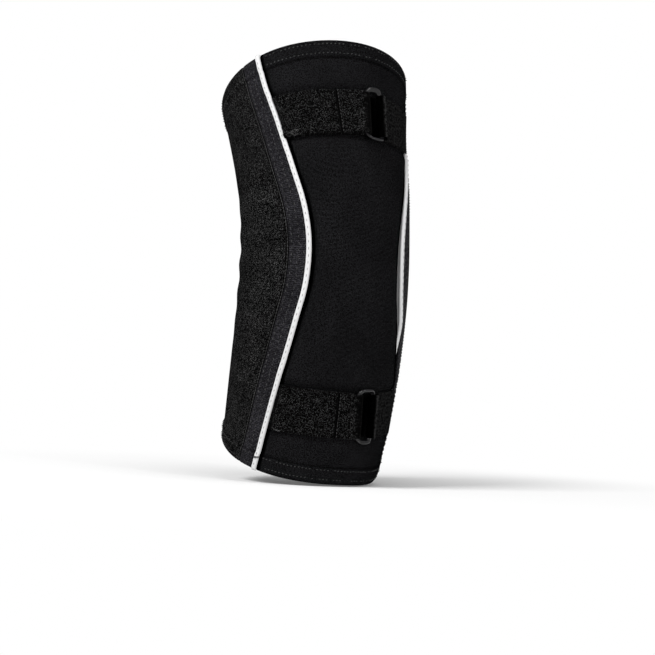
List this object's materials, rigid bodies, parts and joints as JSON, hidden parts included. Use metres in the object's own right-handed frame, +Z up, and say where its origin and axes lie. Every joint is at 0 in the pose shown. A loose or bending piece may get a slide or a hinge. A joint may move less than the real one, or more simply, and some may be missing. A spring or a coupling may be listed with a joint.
{
  "type": "elbow brace",
  "caption": "Pull-on padded elbow brace: a bent neoprene tube with a shaped back panel and hook-and-loop straps led through rings.",
  "frame": {"origin": "on the arm's axis inside the brace, at the tip of the elbow", "axes": "+Z up the arm towards the upper rim, -Y towards the back panel and the tip of the elbow, +X to the side where the straps' tabs are sewn in"},
  "size_m": [0.1064, 0.1116, 0.2402],
  "materials": {
    "smooth_neoprene": "padded neoprene under a fine black jersey, matt",
    "knit_neoprene": "padded neoprene under a coarse black stretch knit",
    "piping": "white tape, satin, stitched along its middle",
    "loop_pile": "black brushed loop pile",
    "webbing": "black woven webbing",
    "ring_plastic": "glossy black moulded plastic"
  },
  "bodies": {
    "root": {"back_panel": "smooth_neoprene", "side_panel_left": "smooth_neoprene", "side_panel_right": "smooth_neoprene", "crook_panel": "knit_neoprene", "piping_left": "piping", "piping_right": "piping", "strap_upper": "loop_pile", "strap_end_upper": "loop_pile", "tab_upper": "webbing", "ring_upper": "ring_plastic", "strap_lower": "loop_pile", "strap_end_lower": "loop_pile", "tab_lower": "webbing", "ring_lower": "ring_plastic"}
  },
  "joints": []
}
